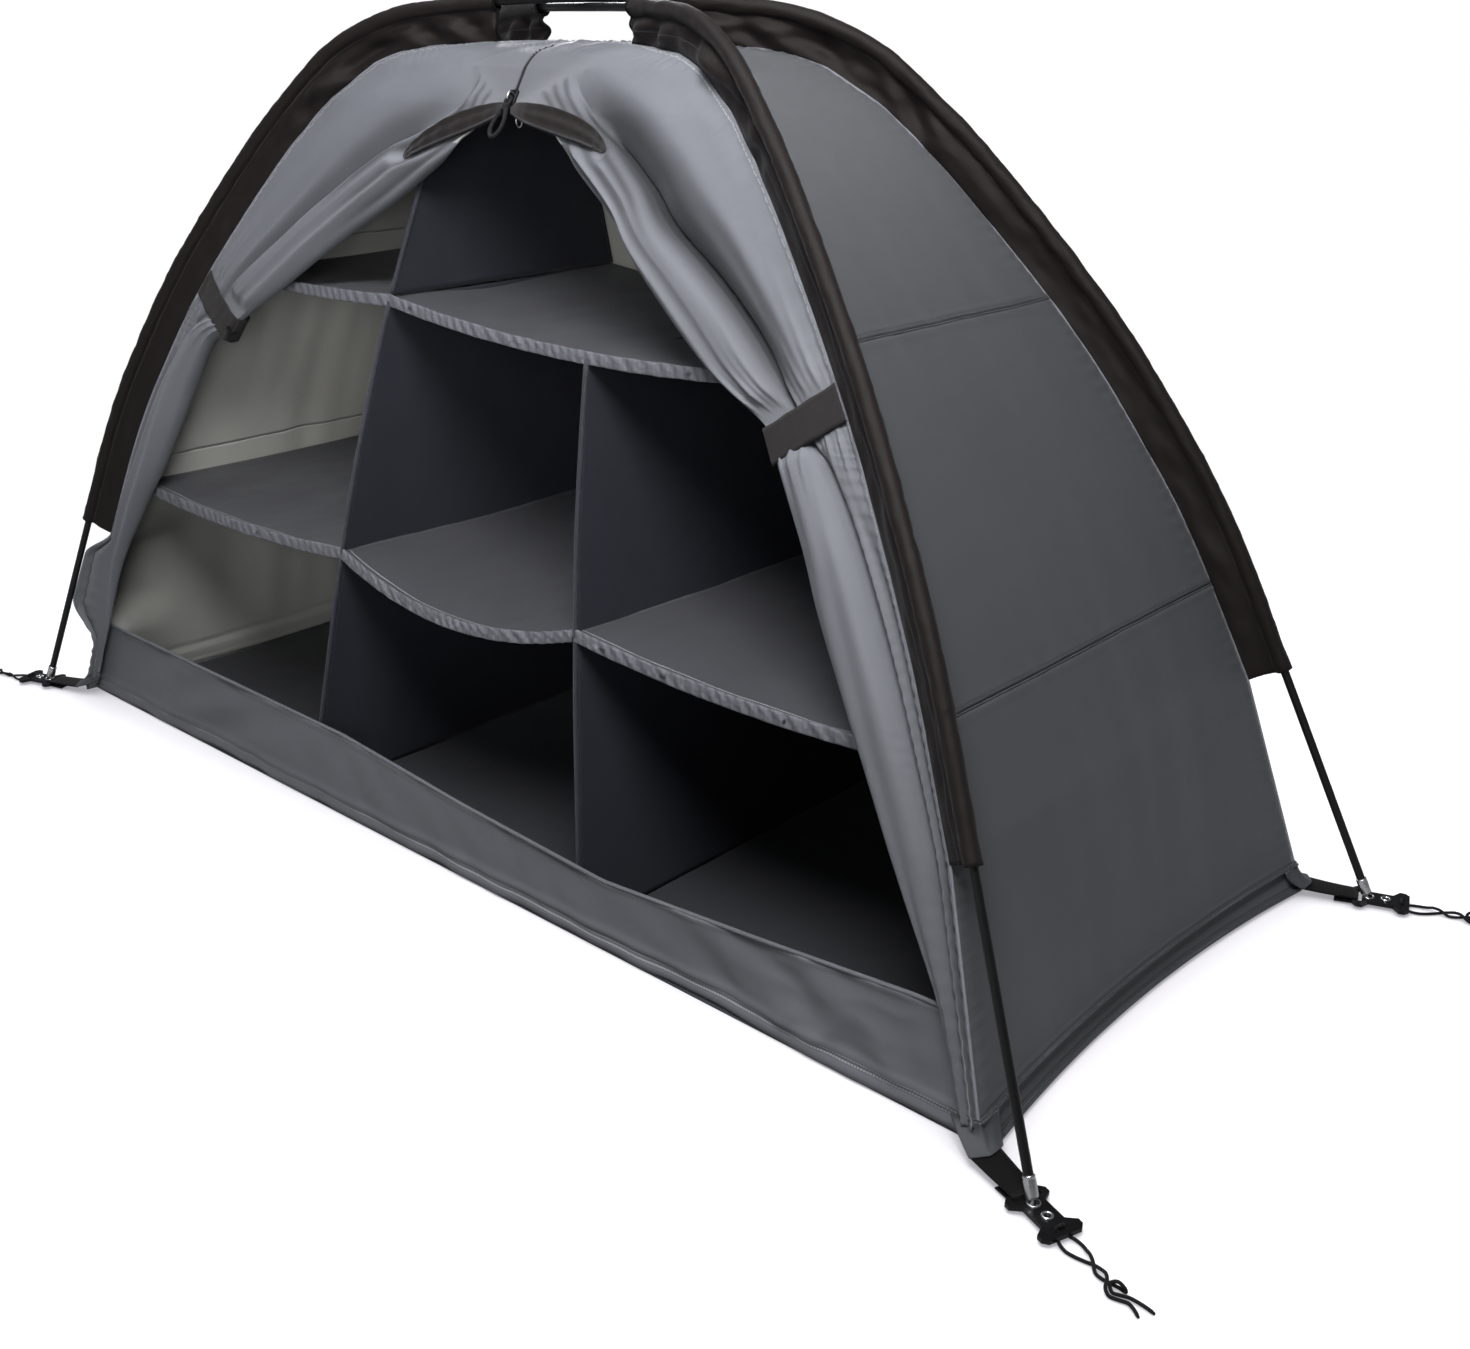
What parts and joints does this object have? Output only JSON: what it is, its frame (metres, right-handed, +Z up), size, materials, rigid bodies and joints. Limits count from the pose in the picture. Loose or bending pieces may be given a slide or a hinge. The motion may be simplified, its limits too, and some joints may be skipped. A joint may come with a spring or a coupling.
{
  "type": "camping cupboard",
  "caption": "Free-standing cloth cupboard on crossed flexible poles, with sagging shelves, hanging dividers, a zipped front tied back and a low front wall.",
  "frame": {"origin": "on the ground under the middle of the frame", "axes": "+Z up, -Y the open front, +X the viewer's right as seen from the front"},
  "size_m": [1.8812, 0.7518, 0.8923],
  "materials": {
    "body_cloth": "satin woven polyester, mid grey",
    "side_cloth": "satin woven polyester, slate grey",
    "divider_cloth": "matte woven polyester, near black",
    "sleeve_cloth": "woven, brown-black",
    "webbing": "ribbed webbing, black",
    "black_plastic": "moulded, satin black",
    "fibreglass": "smooth black rod",
    "bright_metal": "plated, bright",
    "cord": "braided, black"
  },
  "bodies": {
    "cupboard": {"anchor_cord_front_left": "cord", "anchor_cord_front_right": "cord", "anchor_cord_rear_left": "cord", "anchor_cord_rear_right": "cord", "anchor_plate_front_left": "black_plastic", "anchor_plate_front_right": "black_plastic", "anchor_plate_rear_left": "black_plastic", "anchor_plate_rear_right": "black_plastic", "corner_strap_front_left": "webbing", "corner_strap_front_right": "webbing", "corner_strap_rear_left": "webbing", "corner_strap_rear_right": "webbing", "divider_left": "divider_cloth", "divider_left_upper": "divider_cloth", "divider_right": "divider_cloth", "door_left": "body_cloth", "door_right": "body_cloth", "floor_sheet": "side_cloth", "front_wall_low": "body_cloth", "pole_a_ferrule_1": "bright_metal", "pole_a_ferrule_2": "bright_metal", "pole_a_section_1": "fibreglass", "pole_a_section_2": "fibreglass", "pole_a_section_3": "fibreglass", "pole_b_ferrule_1": "bright_metal", "pole_b_ferrule_2": "bright_metal", "pole_b_section_1": "fibreglass", "pole_b_section_2": "fibreglass", "pole_b_section_3": "fibreglass", "pole_tip_front_left": "bright_metal", "pole_tip_front_right": "bright_metal", "pole_tip_rear_left": "bright_metal", "pole_tip_rear_right": "bright_metal", "rear_wall": "side_cloth", "shelf_middle_centre": "side_cloth", "shelf_middle_left": "side_cloth", "shelf_middle_right": "side_cloth", "shelf_top": "side_cloth", "side_wall_left_lower": "side_cloth", "side_wall_left_middle": "side_cloth", "side_wall_left_upper": "side_cloth", "side_wall_right_lower": "side_cloth", "side_wall_right_middle": "side_cloth", "side_wall_right_upper": "side_cloth", "sleeve_front_left": "sleeve_cloth", "sleeve_front_right": "sleeve_cloth", "sleeve_rear_left": "sleeve_cloth", "sleeve_rear_right": "sleeve_cloth", "tie_loop_left": "sleeve_cloth", "tie_loop_right": "sleeve_cloth", "zip_tape_left": "sleeve_cloth", "zip_tape_right": "sleeve_cloth"},
    "slider": {"zip_slider": "bright_metal"},
    "outer_pull": {"zip_pull_cord": "cord"},
    "inner_pull": {"zip_pull_inner": "bright_metal"},
    "left_tie": {"tie_band_left": "sleeve_cloth"},
    "right_tie": {"tie_band_right": "sleeve_cloth"}
  },
  "joints": [
    {"name": "zip_slide", "type": "slide", "parent": "cupboard", "child": "slider", "axis": [0, 0.5165, 0.8563], "range_m": [0, 0.022]},
    {"name": "outer_pull_hinge", "type": "hinge", "parent": "slider", "child": "outer_pull", "pos_m": [0, -0.10805, 0.79626], "axis": [-1, 0, 0], "range_deg": [0, 110]},
    {"name": "inner_pull_hinge", "type": "hinge", "parent": "slider", "child": "inner_pull", "pos_m": [0, -0.09755, 0.78927], "axis": [1, 0, 0], "range_deg": [-5, 100]},
    {"name": "left_tie_hinge", "type": "hinge", "parent": "cupboard", "child": "left_tie", "pos_m": [-0.494, -0.1867, 0.574], "axis": [-0.56, -0.233, -0.795], "range_deg": [0, 115]},
    {"name": "right_tie_hinge", "type": "hinge", "parent": "cupboard", "child": "right_tie", "pos_m": [0.494, -0.1867, 0.574], "axis": [-0.56, 0.233, 0.795], "range_deg": [0, 115]}
  ]
}
